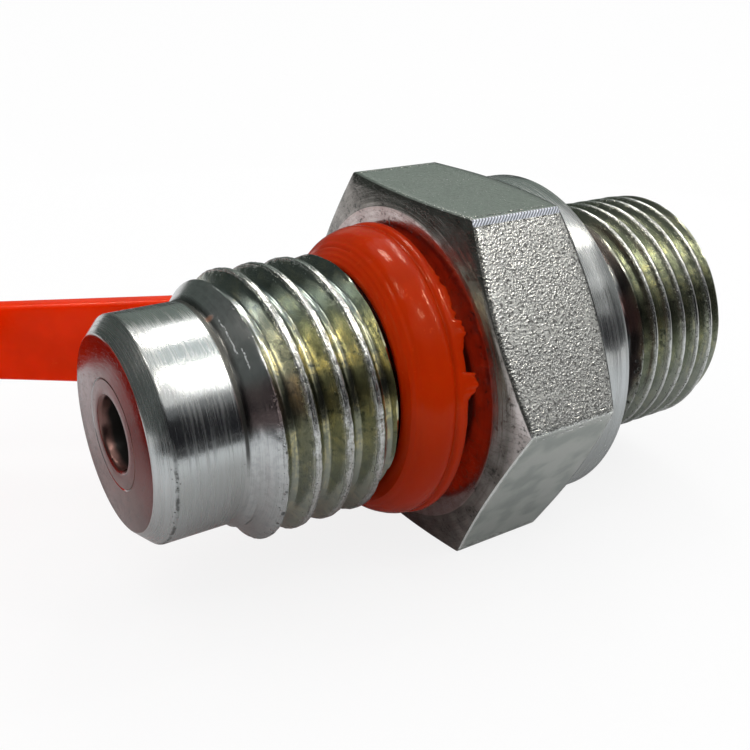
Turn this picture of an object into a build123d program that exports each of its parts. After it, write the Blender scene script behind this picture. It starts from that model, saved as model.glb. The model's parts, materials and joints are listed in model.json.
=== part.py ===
from build123d import *
from math import cos, pi, radians, sin, tan
import os

os.makedirs("parts", exist_ok=True)

# Test point coupling, lying on one flat of its hexagon. Millimetres.
# +X runs along the turned axis, from the probe port to the stud, and +Z is up.
# The origin is the centre of the probe port's mouth.
# A station is a distance along +X.

# ---------------------------------------------------------------- turned body
nose_d = 13.0
nose_chamfer = 0.95
nose_end = 5.1               # station where the port thread's lead-in starts
port_thread_d = 15.85        # over the crests of the M16 x 2 port thread
port_thread_pitch = 2.0
port_thread_depth = 1.1
port_thread_crest = 0.3      # width of the crest's land
port_thread_root = 0.6
port_thread_start = 6.4
port_thread_end = 13.4
port_groove_start = 4.77     # middle of the groove's first turn, at the top
port_groove_turns = 5        # it starts and ends clear of the metal
groove_outside = 0.2         # thread grooves are drawn this far past the crests
neck_d = 13.2                # the tether ring turns in this neck
neck_start = 14.1
hex_af = 22.0
hex_start = 18.3
hex_end = 26.2
hex_face_d = 20.0            # flat front face inside the corner chamfer
hex_front_angle = 15.0       # corner chamfers, from the face
hex_rear_angle = 23.2
hex_corner_margin = 0.3      # the chamfer cones are drawn this far past the corners
hex_root_overlap = 0.1       # the turned ends are drawn this far into the hexagon
collar_d = 21.9
collar_end = 28.6            # sealing face
collar_edge = 0.3
stud_neck_d = 14.6
stud_neck_end = 31.5
stud_d = 16.56               # over the crests of the G 3/8 stud thread
stud_thread_pitch = 1.337
stud_thread_depth = 0.84
stud_thread_crest = 0.2
stud_thread_root = 0.2
stud_groove_start = 30.0     # middle of the first turn, over the neck
stud_groove_turns = 9
stud_end = 40.7
stud_chamfer = 0.9

# ---------------------------------------------------------- bores in the body
bush_d = 6.26
bush_length = 6.0
bush_bore_d = 4.18
gland_end = 8.4              # back-up ring and probe seal sit between bush and here
passage_d = 4.3
seat_start = 13.4            # a 45 degree valve seat opens from the passage
chamber_d = 8.8
recess_d = 18.7              # recess for the stud seal in the collar's face
recess_depth = 1.5
clip_station = 35.9
clip_groove_d = 9.8
clip_groove_width = 0.85

# ------------------------------------------------------------------ seals
backup_thickness = 0.8
probe_seal_section = 1.2
seat_seal_section = 0.9
seat_seal_centre_r = 3.0
seat_seal_gap = 0.03         # closed valve, between the seal and the seat
stud_seal_proud = 0.2
stud_seal_edge = 0.25

# --------------------------------------------------------- valve and spring
poppet_tip = 9.0
poppet_stem_d = 3.0
poppet_tip_chamfer = 0.3
poppet_head_d = 7.5
poppet_seat_gap = 0.15       # metal to metal, square to the seat
poppet_land_start = 16.1
poppet_land_end = 19.6
poppet_land_d = chamber_d - 0.12
poppet_slot_d = 1.8
poppet_slots = 4
spigot_d = 4.4
spigot_end = 26.6
spring_wire_d = 0.7
spring_coil_d = 6.2          # mean diameter
spring_wire_sides = 10       # the wire's section, for a light mesh
spring_turns = 6
spring_seat_thickness = 1.5
spring_seat_boss_d = 4.4
valve_travel = 3.0           # the boss stops the spigot just past this
valve_overtravel = 0.2
clip_thickness = 0.8
clip_bore_d = 7.6
clip_gap = 2.6
clip_clearance = 0.05        # between the clip and the bottom of its groove

# ------------------------------------------------------------------ tether
ring_start = 14.4
ring_end = 17.5
ring_bore_d = 14.0
ring_left_d = 16.4
ring_bulge_d = 18.3
ring_shoulder_d = 17.9       # the swell passes through this, before its crown
ring_shoulder_share = 0.35   # of the ring's half width, left of its middle
ring_rim_d = 18.5
ring_rim_width = 0.75
ring_groove_d = 18.02        # a shallow line turned just before the rim
ring_groove_lead = 0.3
ring_groove_rise = 0.25
ring_rim_edge = 0.15
ring_bore_chamfer = 0.4
ring_tilt = 3.2              # the loose ring lies askew, leaning towards the hexagon
ring_tilt_turn = 54.7        # at this angle round from +Y towards +Z
strap_thickness = 1.4
strap_width = 5.4
strap_root_width = 6.8
strap_taper_start = 14.0     # stations between which the strap narrows
strap_taper_end = -0.5
strap_root_station = 16.5
strap_root_y = 7.15
strap_bend_y = 9.1
strap_bend_radius = 3.0
strap_heading = 149.3        # degrees from +X, seen from above
strap_run = 17.7
strap_curve_radius = 16.0
strap_tail = 3.2
cap_d = 18.0
cap_bore_d = 16.3
cap_length = 14.5
cap_end_wall = 1.6
cap_rim_d = 18.4
cap_rim_length = 2.0
cap_edge = 0.5
cap_strap_overlap = 0.5      # the strap's end runs this far into the cap
cap_rib_d = 1.0
cap_rib_height = 0.35
cap_ribs = 18
trim_margin = 1.0            # a cutting outline is drawn this far past what it cuts

floor_z = -hex_af / 2


def half_section(points):
    """The face inside a closed outline of (station, radius) points, to turn about X."""
    with BuildSketch(Plane.XY) as section:
        with BuildLine():
            Polyline(*points, close=True)
        make_face()
    return section.sketch


def round_section(station, radius, diameter):
    """The section of a seal ring, to turn about X."""
    with BuildSketch(Plane.XY) as section:
        with Locations((station, radius)):
            Circle(diameter / 2)
    return section.sketch


def save(name, made):
    made.part.label = name
    export_step(made.part, f"parts/{name}.step")


def groove_turn(station, thread_d, pitch, depth, crest, root):
    """One turn of a right-hand thread's groove, starting at the top."""
    half_mouth = (pitch - crest) / 2
    flank = (half_mouth - root / 2) / depth
    half_outer = half_mouth + groove_outside * flank
    with BuildPart() as groove:
        with BuildLine() as path:
            Helix(
                pitch=pitch,
                height=pitch,
                radius=thread_d / 2 - depth,
                center=(station, 0, 0),
                direction=(1, 0, 0),
            )
        with BuildSketch(Plane(origin=path.line @ 0, x_dir=(1, 0, 0), z_dir=path.line % 0)):
            with BuildLine():
                Polyline(
                    (-root / 2, 0),
                    (root / 2, 0),
                    (half_outer, depth + groove_outside),
                    (-half_outer, depth + groove_outside),
                    close=True,
                )
            make_face()
        sweep(is_frenet=True)
    return groove.part


# ------------------------------------------------------------- coupling body
corner_reach = hex_af / 2 / cos(radians(30)) + hex_corner_margin
front_cone = (corner_reach - hex_face_d / 2) * tan(radians(hex_front_angle))
rear_cone = (corner_reach - collar_d / 2) * tan(radians(hex_rear_angle))
stud_lead_in = (stud_d - stud_neck_d) / 2
bush_seat_r = bush_d / 2
seat_end = seat_start + (chamber_d - passage_d) / 2

hexagon_envelope = [
    (hex_start, 0),
    (hex_start, hex_face_d / 2),
    (hex_start + front_cone, corner_reach),
    (hex_end - rear_cone, corner_reach),
    (hex_end, collar_d / 2),
    (hex_end, 0),
]
port_end = [
    (0, 0),
    (0, nose_d / 2 - nose_chamfer),
    (nose_chamfer, nose_d / 2),
    (nose_end, nose_d / 2),
    (port_thread_start, port_thread_d / 2),
    (port_thread_end, port_thread_d / 2),
    (neck_start, neck_d / 2),
    (hex_start + hex_root_overlap, neck_d / 2),
    (hex_start + hex_root_overlap, 0),
]
stud_outline = [
    (hex_end - hex_root_overlap, 0),
    (hex_end - hex_root_overlap, collar_d / 2),
    (collar_end - collar_edge, collar_d / 2),
    (collar_end, collar_d / 2 - collar_edge),
    (collar_end, recess_d / 2),
    (collar_end - recess_depth, recess_d / 2),
    (collar_end - recess_depth, stud_neck_d / 2),
    (stud_neck_end, stud_neck_d / 2),
    (stud_neck_end + stud_lead_in, stud_d / 2),
    (stud_end - stud_chamfer, stud_d / 2),
    (stud_end, stud_d / 2 - stud_chamfer),
    (stud_end, 0),
]
bores = [
    (0, 0),
    (0, bush_seat_r),
    (gland_end, bush_seat_r),
    (gland_end, passage_d / 2),
    (seat_start, passage_d / 2),
    (seat_end, chamber_d / 2),
    (clip_station, chamber_d / 2),
    (clip_station, clip_groove_d / 2),
    (clip_station + clip_groove_width, clip_groove_d / 2),
    (clip_station + clip_groove_width, chamber_d / 2),
    (stud_end, chamber_d / 2),
    (stud_end, 0),
]

with BuildPart() as coupling_body:
    with BuildSketch(Plane.YZ.offset(hex_start)):
        RegularPolygon(radius=hex_af / 2, side_count=6, major_radius=False)
    extrude(amount=hex_end - hex_start)
    revolve(half_section(hexagon_envelope), axis=Axis.X, mode=Mode.INTERSECT)
    revolve(half_section(port_end), axis=Axis.X)
    revolve(half_section(stud_outline), axis=Axis.X)
    revolve(half_section(bores), axis=Axis.X, mode=Mode.SUBTRACT)
    for turn in range(port_groove_turns):
        add(groove_turn(port_groove_start + turn * port_thread_pitch, port_thread_d,
                        port_thread_pitch, port_thread_depth, port_thread_crest,
                        port_thread_root), mode=Mode.SUBTRACT)
    for turn in range(stud_groove_turns):
        add(groove_turn(stud_groove_start + turn * stud_thread_pitch, stud_d,
                        stud_thread_pitch, stud_thread_depth, stud_thread_crest,
                        stud_thread_root), mode=Mode.SUBTRACT)
save("coupling_body", coupling_body)

# ---------------------------------------------- guide bush and its two seals
with BuildPart() as guide_bush:
    revolve(half_section([
        (0, bush_bore_d / 2),
        (0, bush_d / 2),
        (bush_length, bush_d / 2),
        (bush_length, bush_bore_d / 2),
    ]), axis=Axis.X)
save("guide_bush", guide_bush)

with BuildPart() as backup_ring:
    revolve(half_section([
        (bush_length, bush_bore_d / 2),
        (bush_length, bush_d / 2),
        (bush_length + backup_thickness, bush_d / 2),
        (bush_length + backup_thickness, bush_bore_d / 2),
    ]), axis=Axis.X)
save("backup_ring", backup_ring)

with BuildPart() as probe_seal:
    seal_station = (bush_length + backup_thickness + gland_end) / 2
    seal_radius = (bush_d - probe_seal_section) / 2
    revolve(round_section(seal_station, seal_radius, probe_seal_section), axis=Axis.X)
save("probe_seal", probe_seal)

# ------------------------------------------------------------ valve poppet
# The seat is the line radius = station - seat_start + passage_d / 2, and the poppet's
# cone lies poppet_seat_gap behind it.
seat_intercept = seat_start - passage_d / 2
cone_intercept = seat_intercept + poppet_seat_gap * 2 ** 0.5
seat_seal_station = (seat_seal_centre_r + seat_intercept
                     + (seat_seal_section / 2 + seat_seal_gap) * 2 ** 0.5)
seat_seal_section_face = round_section(seat_seal_station, seat_seal_centre_r, seat_seal_section)

with BuildPart() as valve_poppet:
    revolve(half_section([
        (poppet_tip, 0),
        (poppet_tip, poppet_stem_d / 2 - poppet_tip_chamfer),
        (poppet_tip + poppet_tip_chamfer, poppet_stem_d / 2),
        (cone_intercept + poppet_stem_d / 2, poppet_stem_d / 2),
        (cone_intercept + poppet_head_d / 2, poppet_head_d / 2),
        (poppet_land_start, poppet_head_d / 2),
        (poppet_land_start, poppet_land_d / 2),
        (poppet_land_end, poppet_land_d / 2),
        (poppet_land_end, spigot_d / 2),
        (spigot_end, spigot_d / 2),
        (spigot_end, 0),
    ]), axis=Axis.X)
    with BuildSketch(Plane.YZ.offset(poppet_land_start)):
        with PolarLocations(poppet_land_d / 2, poppet_slots, start_angle=45):
            Circle(poppet_slot_d / 2)
    extrude(amount=poppet_land_end - poppet_land_start, mode=Mode.SUBTRACT)
    revolve(seat_seal_section_face, axis=Axis.X, mode=Mode.SUBTRACT)
save("valve_poppet", valve_poppet)

with BuildPart() as poppet_seal:
    revolve(seat_seal_section_face, axis=Axis.X)
save("poppet_seal", poppet_seal)

# -------------------------------------------- spring, its seat and the clip
spring_seat_station = clip_station - spring_seat_thickness
spring_length = spring_seat_station - poppet_land_end
coil_height = spring_length - spring_wire_d

with BuildPart() as valve_spring:
    with BuildLine() as coil:
        Helix(
            pitch=coil_height / spring_turns,
            height=coil_height,
            radius=spring_coil_d / 2,
            center=(poppet_land_end + spring_wire_d / 2, 0, 0),
            direction=(1, 0, 0),
        )
    with BuildSketch(Plane(origin=coil.line @ 0, z_dir=coil.line % 0)):
        RegularPolygon(radius=spring_wire_d / 2, side_count=spring_wire_sides)
    sweep(is_frenet=True)
save("valve_spring", valve_spring)

with BuildPart() as spring_seat:
    revolve(half_section([
        (spigot_end + valve_travel + valve_overtravel, 0),
        (spigot_end + valve_travel + valve_overtravel, spring_seat_boss_d / 2),
        (spring_seat_station, spring_seat_boss_d / 2),
        (spring_seat_station, chamber_d / 2),
        (clip_station, chamber_d / 2),
        (clip_station, 0),
    ]), axis=Axis.X)
    with BuildSketch(Plane.YZ.offset(spring_seat_station)):
        with PolarLocations(chamber_d / 2, poppet_slots):
            Circle(poppet_slot_d / 2)
    extrude(amount=spring_seat_thickness, mode=Mode.SUBTRACT)
save("spring_seat", spring_seat)

with BuildPart() as retaining_clip:
    with BuildSketch(Plane.YZ.offset(clip_station)):
        Circle(clip_groove_d / 2 - clip_clearance)
        Circle(clip_bore_d / 2, mode=Mode.SUBTRACT)
        with Locations((0, clip_groove_d / 2)):
            Rectangle(clip_gap, clip_groove_d, mode=Mode.SUBTRACT)
    extrude(amount=clip_thickness)
save("retaining_clip", retaining_clip)

# ------------------------------------------------- profile seal of the stud
with BuildPart() as stud_seal:
    revolve(half_section([
        (collar_end - recess_depth, stud_neck_d / 2),
        (collar_end - recess_depth, recess_d / 2),
        (collar_end - stud_seal_edge, recess_d / 2),
        (collar_end + stud_seal_proud, recess_d / 2 - stud_seal_edge - stud_seal_proud),
        (collar_end + stud_seal_proud, stud_neck_d / 2 + stud_seal_edge),
        (collar_end + stud_seal_proud - stud_seal_edge, stud_neck_d / 2),
    ]), axis=Axis.X)
save("stud_seal", stud_seal)

# ------------------------------------------ tether: ring, strap and dust cap
# One moulding. The strap is a flat band that stands on edge, so it is drawn from above.
ring_lean = tan(radians(ring_tilt))
ring_axis = Vector(
    1,
    -ring_lean * cos(radians(ring_tilt_turn)),
    -ring_lean * sin(radians(ring_tilt_turn)),
).normalized()
ring_centre = Vector((ring_start + ring_end) / 2, 0, 0)
ring_side = ring_axis.cross(Vector(0, 0, 1)).normalized()
half_ring = (ring_end - ring_start) / 2
rim_start = half_ring - ring_rim_width

cap_rest_r = (cap_d / 2 + cap_rib_height) * cos(pi / cap_ribs)
strap_z = floor_z + cap_rest_r

heading = radians(strap_heading)
bend_turn = strap_heading - 90
curve_turn = 180 - strap_heading

with BuildPart() as tether_cap:
    with BuildSketch(Plane.XY.offset(strap_z - strap_root_width / 2)):
        with BuildLine():
            root = Line((strap_root_station, strap_root_y), (strap_root_station, strap_bend_y))
            bend = JernArc(start=root @ 1, tangent=root % 1, radius=strap_bend_radius,
                           arc_size=bend_turn)
            run = PolarLine(bend @ 1, strap_run, angle=strap_heading)
            curve = JernArc(start=run @ 1, tangent=run % 1, radius=strap_curve_radius,
                            arc_size=curve_turn)
            tail = PolarLine(curve @ 1, strap_tail, angle=180)
        trace(line_width=strap_thickness)
    extrude(amount=strap_root_width)
    strap_end = tail @ 1
    cap_x = strap_end.X - cap_d / 2 + cap_strap_overlap
    cap_back = strap_end.Y + strap_thickness / 2
    cap_mouth = cap_back - cap_length

    with BuildSketch(Plane.XZ.offset(-cap_back - trim_margin)):
        with BuildLine():
            Polyline(
                (strap_end.X - trim_margin, strap_z - strap_width / 2),
                (strap_taper_end, strap_z - strap_width / 2),
                (strap_taper_start, strap_z - strap_root_width / 2),
                (hex_start, strap_z - strap_root_width / 2),
                (hex_start, strap_z + strap_root_width / 2),
                (strap_taper_start, strap_z + strap_root_width / 2),
                (strap_taper_end, strap_z + strap_width / 2),
                (strap_end.X - trim_margin, strap_z + strap_width / 2),
                close=True,
            )
        make_face()
    extrude(amount=cap_back + trim_margin, mode=Mode.INTERSECT)

    with BuildSketch(Plane(origin=ring_centre, x_dir=ring_axis, z_dir=ring_side)):
        with BuildLine():
            left = Line(
                (half_ring, ring_bore_d / 2),
                (-half_ring + ring_bore_chamfer, ring_bore_d / 2),
            )
            lead = Line(left @ 1, (-half_ring, ring_bore_d / 2 + ring_bore_chamfer))
            edge = Line(lead @ 1, (-half_ring, ring_left_d / 2))
            swell = ThreePointArc(
                edge @ 1,
                (-half_ring * ring_shoulder_share, ring_shoulder_d / 2),
                (rim_start - ring_groove_lead, ring_bulge_d / 2),
            )
            dip = Line(swell @ 1, (rim_start, ring_groove_d / 2))
            rise = Line(dip @ 1, (rim_start + ring_groove_rise, ring_rim_d / 2))
            rim = Line(rise @ 1, (half_ring - ring_rim_edge, ring_rim_d / 2))
            corner = Line(rim @ 1, (half_ring, ring_rim_d / 2 - ring_rim_edge))
            Line(corner @ 1, left @ 0)
        make_face()
    revolve(axis=Axis(ring_centre, ring_axis))

    cap_axis = Axis((cap_x, 0, strap_z), (0, 1, 0))
    with BuildSketch(Plane.XY.offset(strap_z)):
        with BuildLine():
            Polyline(
                (cap_x, cap_back),
                (cap_x + cap_d / 2 - cap_edge, cap_back),
                (cap_x + cap_d / 2, cap_back - cap_edge),
                (cap_x + cap_d / 2, cap_mouth + cap_rim_length),
                (cap_x + cap_rim_d / 2, cap_mouth + cap_rim_length),
                (cap_x + cap_rim_d / 2, cap_mouth),
                (cap_x + cap_bore_d / 2, cap_mouth),
                (cap_x + cap_bore_d / 2, cap_back - cap_end_wall),
                (cap_x, cap_back - cap_end_wall),
                close=True,
            )
        make_face()
    revolve(axis=cap_axis)
    with BuildSketch(Plane(origin=(cap_x, cap_mouth + cap_rim_length, strap_z),
                           x_dir=(1, 0, 0), z_dir=(0, 1, 0))):
        with PolarLocations(cap_d / 2 + cap_rib_height - cap_rib_d / 2, cap_ribs):
            Circle(cap_rib_d / 2)
    extrude(amount=cap_length - cap_rim_length - 2 * cap_edge)
save("tether_cap", tether_cap)
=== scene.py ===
import bmesh
import bpy
import json
import math
import numpy as np
from mathutils import Matrix, Vector, noise

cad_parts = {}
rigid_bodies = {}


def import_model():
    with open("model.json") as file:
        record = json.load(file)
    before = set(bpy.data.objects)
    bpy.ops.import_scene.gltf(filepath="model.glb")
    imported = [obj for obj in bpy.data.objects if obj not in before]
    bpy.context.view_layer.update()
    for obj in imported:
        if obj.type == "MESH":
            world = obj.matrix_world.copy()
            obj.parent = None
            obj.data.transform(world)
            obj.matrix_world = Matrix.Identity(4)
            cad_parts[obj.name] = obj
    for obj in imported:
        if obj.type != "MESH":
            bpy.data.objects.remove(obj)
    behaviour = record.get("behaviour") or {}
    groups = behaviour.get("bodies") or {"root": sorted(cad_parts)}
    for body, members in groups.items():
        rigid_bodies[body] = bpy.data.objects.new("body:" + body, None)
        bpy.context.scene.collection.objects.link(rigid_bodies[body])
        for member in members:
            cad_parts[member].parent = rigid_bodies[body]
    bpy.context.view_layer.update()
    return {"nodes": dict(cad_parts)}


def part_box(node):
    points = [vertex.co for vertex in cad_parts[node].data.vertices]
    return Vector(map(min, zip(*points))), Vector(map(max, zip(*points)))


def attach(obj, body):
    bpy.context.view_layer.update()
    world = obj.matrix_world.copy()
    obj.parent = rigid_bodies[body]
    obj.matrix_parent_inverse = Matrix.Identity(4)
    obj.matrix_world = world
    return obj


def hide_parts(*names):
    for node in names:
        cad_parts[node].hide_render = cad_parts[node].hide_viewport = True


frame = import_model()
mm = 0.001
print("frame loaded:", len(frame["nodes"]), "nodes")


# ---- node helpers

class Wire:
    # a socket, with arithmetic that adds its Math nodes

    def __init__(self, tree, socket=None):
        self.tree = tree
        self.socket = socket

    def add(self, kind, settings=None, inputs=None, out=0):
        node = self.tree.nodes.new("ShaderNode" + kind)
        for name, value in (settings or {}).items():
            setattr(node, name, value)
        for key, value in (inputs or {}).items():
            if isinstance(value, Wire):
                self.tree.links.new(value.socket, node.inputs[key])
            else:
                node.inputs[key].default_value = value
        return Wire(self.tree, node.outputs[out] if len(node.outputs) else None)

    def maths(self, operation, *operands):
        return self.add("Math", {"operation": operation}, dict(enumerate(operands)))

    def __add__(self, other):
        return self.maths("ADD", self, other)

    def __sub__(self, other):
        return self.maths("SUBTRACT", self, other)

    def __rsub__(self, other):
        return self.maths("SUBTRACT", other, self)

    def __mul__(self, other):
        return self.maths("MULTIPLY", self, other)

    def __truediv__(self, other):
        return self.maths("DIVIDE", self, other)

    def __pow__(self, other):
        return self.maths("POWER", self, other)

    __radd__ = __add__
    __rmul__ = __mul__


def step(value, low, high):
    return value.add("MapRange", {"interpolation_type": "SMOOTHSTEP"},
                     {"Value": value, "From Min": low, "From Max": high})


def near(value, place, width):
    return 1 - step((value - place).maths("ABSOLUTE", value - place), 0.3 * width, width)


def either(first, second):
    return first.maths("MAXIMUM", first, second)


def both(first, second):
    return first.maths("MULTIPLY", first, second)


def mixColour(factor, first, second):
    return factor.add("Mix", {"data_type": "RGBA"}, {0: factor, 6: first, 7: second}, out=2)


def dimmed(colour, share):
    return (*(share * c for c in colour[:3]), 1)


def grain(vector, scale, detail=2.0, roughness=0.5):
    return vector.add("TexNoise", {}, {"Vector": vector, "Scale": scale, "Detail": detail,
                                       "Roughness": roughness})


def vectorOf(x, y, z):
    return next(v for v in (x, y, z) if isinstance(v, Wire)).add(
        "CombineXYZ", {}, {0: x, 1: y, 2: z})


def newFinish(name):
    finish = bpy.data.materials.new(name)
    finish.use_nodes = True
    finish.node_tree.nodes.clear()
    return finish, Wire(finish.node_tree)


def closeFinish(wire, inputs, bump, distance):
    normal = wire.add("Bump", {}, {"Height": bump, "Distance": distance, "Strength": 1.0})
    shader = wire.add("BsdfPrincipled", {}, {**inputs, "Normal": normal})
    wire.add("OutputMaterial", {}, {"Surface": shader})


def placeOf(wire):
    # in millimetres: the spot, how far along the piece's own Z axis, how far from it,
    # and the two parts of the direction away from it
    spot = wire.add("TexCoord", out="Object")
    scaled = spot.add("VectorMath", {"operation": "SCALE"}, {0: spot, "Scale": 1 / mm})
    parts = scaled.add("SeparateXYZ", {}, {0: scaled})
    a, b, along = (Wire(parts.tree, parts.socket.node.outputs[k]) for k in range(3))
    radius = (a * a + b * b + 1e-6) ** 0.5
    return scaled, along, radius, (a / radius, b / radius)


def meshObject(name, vertices, faces, finishes):
    data = bpy.data.meshes.new(name)
    data.from_pydata([tuple(v) for v in vertices], [], faces)
    for finish in finishes:
        data.materials.append(finish)
    piece = bpy.data.objects.new(name, data)
    bpy.context.scene.collection.objects.link(piece)
    return piece


# ---- camera

cameraPlan = {
    "place": (-0.016186, -0.051807, 0.027323),
    "lookAt": (0.023721, -0.001841, -0.001160),
    "roll": 2.92,
    "lens": 50.76,
    "shift": (-0.1392, -0.0034),
    "clip": (0.005, 20.0),
}


def makeCamera(plan):
    camera = bpy.data.objects.new("camera", bpy.data.cameras.new("camera"))
    bpy.context.scene.collection.objects.link(camera)
    place = Vector(plan["place"])
    aim = (Vector(plan["lookAt"]) - place).to_track_quat("-Z", "Y").to_matrix()
    camera.matrix_world = (Matrix.Translation(place) @ aim.to_4x4()
                           @ Matrix.Rotation(math.radians(plan["roll"]), 4, "Z"))
    camera.data.lens = plan["lens"]
    camera.data.shift_x, camera.data.shift_y = plan["shift"]
    camera.data.clip_start, camera.data.clip_end = plan["clip"]
    bpy.context.scene.camera = camera


makeCamera(cameraPlan)
bpy.context.scene.view_settings.view_transform = "Standard"
print("camera set")

# ---- floor, room light and lamps

studio = {
    "floorSize": 6.0,
    "floorColour": (0.90, 0.90, 0.90, 1),
    "floorCloud": (0.88, 0.88, 0.885, 1),
    "floorWhite": 0.84,          # share of plain white that the floor shows
    "mirroredWhite": 0.30,       # the same in reflections, where its shadow counts
    "matRadius": 0.10,           # a grey card on the floor that only reflections show, a painted shade under the object
    "matShadeColour": (0.60, 0.61, 0.615, 1),
    "matEdge": (0.86, 0.885, 0.91, 1),
    "matFade": (0.018, 0.042),   # distances from the middle between which it changes
    "matSteps": 48,
    # azimuths, radii, colour
    "darkMats": (((-165, -52), (0.074, 0.40), (0.02, 0.02, 0.022, 1)),
                 ((15, 85), (0.020, 0.40), (0.07, 0.085, 0.08, 1))),
    "roomLevel": (0.34, 0.90),   # light at the horizon, and what it gains overhead
    "middle": (0.018, 0.0, 0.0),
    "cardDistance": 0.5,
    "cardSteps": 24,
    # name: azimuths, elevations, colour
    "cards": {
        "blackFlag": ((-160, -58), (-12, 29), (0.014, 0.014, 0.018)),
        "greyFlag": ((-150, -60), (29, 39), (0.20, 0.21, 0.22)),
        "studFlag": ((-44, -26), (20, 30), (0.06, 0.065, 0.06)),
        "sideFlag": ((-58, -28), (-9, 20), (0.05, 0.05, 0.055)),
        "backCard": ((28, 80), (7, 44), (0.26, 0.31, 0.28)),
        "lowCard": ((28, 80), (-7, 7), (0.06, 0.07, 0.07)),
        "farCard": ((80, 125), (-7, 46), (0.100, 0.120, 0.110)),
        "leftCard": ((125, 200), (-7, 54), (0.105, 0.120, 0.115)),
        "rightCard": ((-28, 28), (-9, 38), (0.38, 0.39, 0.39)),
        "topCard": ((-44, 44), (61, 88), (1.0, 1.10, 1.12)),
        "backGlint": ((53, 57), (50, 58), (22.0, 21.0, 19.0)),
        "frontGlint": ((-57, -53), (49, 57), (30.0, 28.0, 25.0)),
        "sideGlint": ((-7, 0), (42, 50), (24.0, 22.5, 20.0)),
        "ringGlintA": ((93, 107), (59, 68), (36.0, 34.0, 31.0)),
        "ringGlintB": ((37, 53), (61, 70), (36.0, 34.0, 31.0)),
        "ringGlintC": ((-60, -47), (63, 69), (56.0, 53.0, 48.0)),
        "ringGlintD": ((-122, -113), (57, 62), (52.0, 49.0, 45.0)),
        "ringGlintE": ((167, 177), (52, 58), (46.0, 43.0, 40.0)),
        "ringGlintF": ((-17, -7), (59, 63), (40.0, 38.0, 35.0)),
    },
    # name: azimuth, elevation, width round the object, height, radiance
    "lamps": {
        "backStrip": (55, 54, 0.10, 0.34, 4.5),
        "frontStrip": (-55, 53, 0.10, 0.34, 4.5),
        "sideStrip": (-4, 49, 0.07, 0.30, 4.5),
    },
    "lampDistance": 0.8,
}


def toward(azimuth, elevation, distance):
    a, e = math.radians(azimuth), math.radians(elevation)
    return Vector(studio["middle"]) + distance * Vector(
        (math.cos(a) * math.cos(e), math.sin(a) * math.cos(e), math.sin(e)))


def seenBy(wire, *kinds):
    rays = wire.add("LightPath").socket.node
    found = [Wire(wire.tree, rays.outputs["Is " + kind + " Ray"]) for kind in kinds]
    return found[0] if len(found) == 1 else either(*found)


def makeFloor():
    half = studio["floorSize"] / 2
    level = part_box("coupling_body")[0].z
    finish, wire = newFinish("paleFloor")
    spot = wire.add("TexCoord", out="Object")
    cloud = grain(spot, 9.0, 3.0)
    plain = wire.add("BsdfPrincipled", {}, {
        "Base Color": mixColour(cloud, studio["floorColour"], studio["floorCloud"]),
        "Roughness": 0.75, "Specular IOR Level": 0.2})
    white = wire.add("Emission", {}, {"Color": (1, 1, 1, 1), "Strength": 1.0})
    share = either(seenBy(wire, "Camera", "Transmission") * studio["floorWhite"],
                   seenBy(wire, "Glossy") * studio["mirroredWhite"])
    wire.add("OutputMaterial", {}, {"Surface": wire.add("MixShader", {}, {
        0: share, 1: plain, 2: white})})
    floor = meshObject("floor", [(-half, -half, level), (half, -half, level),
                                 (half, half, level), (-half, half, level)],
                       [(0, 1, 2, 3)], [finish])


def onlyMirrored(piece):
    for ray in ("camera", "diffuse", "shadow", "transmission", "volume_scatter"):
        setattr(piece, "visible_" + ray, False)


def layMat(name, azimuths, radii, lift, inner, outer):
    # a sector of felt on the floor that only reflections show, fading from inner to outer
    middle, level = studio["middle"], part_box("coupling_body")[0].z + lift * mm
    count, spots = studio["matSteps"], []
    for reach in radii:
        for k in range(count + 1):
            turn = math.radians(azimuths[0] + (azimuths[1] - azimuths[0]) * k / count)
            spots.append((middle[0] + reach * math.cos(turn),
                          middle[1] + reach * math.sin(turn), level))
    finish, wire = newFinish(name + "Felt")
    spot = wire.add("TexCoord", out="Object")
    away = spot.add("VectorMath", {"operation": "DISTANCE"}, {0: spot, 1: (*middle[:2], level)},
                    out=1)
    away = away + (grain(spot, 40.0, 2.0) - 0.5) * 0.01
    shade = mixColour(step(away, *studio["matFade"]), inner, outer)
    wire.add("OutputMaterial", {}, {"Surface": wire.add("BsdfDiffuse", {}, {"Color": shade})})
    mat = meshObject(name, spots, [(k, k + 1, count + 2 + k, count + 1 + k)
                                   for k in range(count)], [finish])
    onlyMirrored(mat)


def makeMats():
    # painted shade: the felt under the object is darkest in the middle and only reflections show
    # it
    layMat("greyMat", (0, 360), (0.0, studio["matRadius"]), 0.02,
           studio["matShadeColour"], studio["matEdge"])
    for azimuths, radii, colour in studio["darkMats"]:
        layMat("darkMat", azimuths, radii, 0.04, colour, colour)


def makeRoom():
    world = bpy.data.worlds.new("room")
    bpy.context.scene.world = world
    world.use_nodes = True
    world.node_tree.nodes.clear()
    wire = Wire(world.node_tree)
    height = wire.add("SeparateXYZ", {}, {0: wire.add("TexCoord", out="Generated")}, out=2)
    low, gain = studio["roomLevel"]
    level = height.maths("MAXIMUM", height, 0.0) * gain + low
    plain = either(seenBy(wire, "Camera", "Transmission"), seenBy(wire, "Glossy"))
    wire.add("OutputWorld", {}, {"Surface": wire.add("Background", {}, {
        "Color": (1, 1, 1, 1), "Strength": plain + (1 - plain) * level})})


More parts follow.
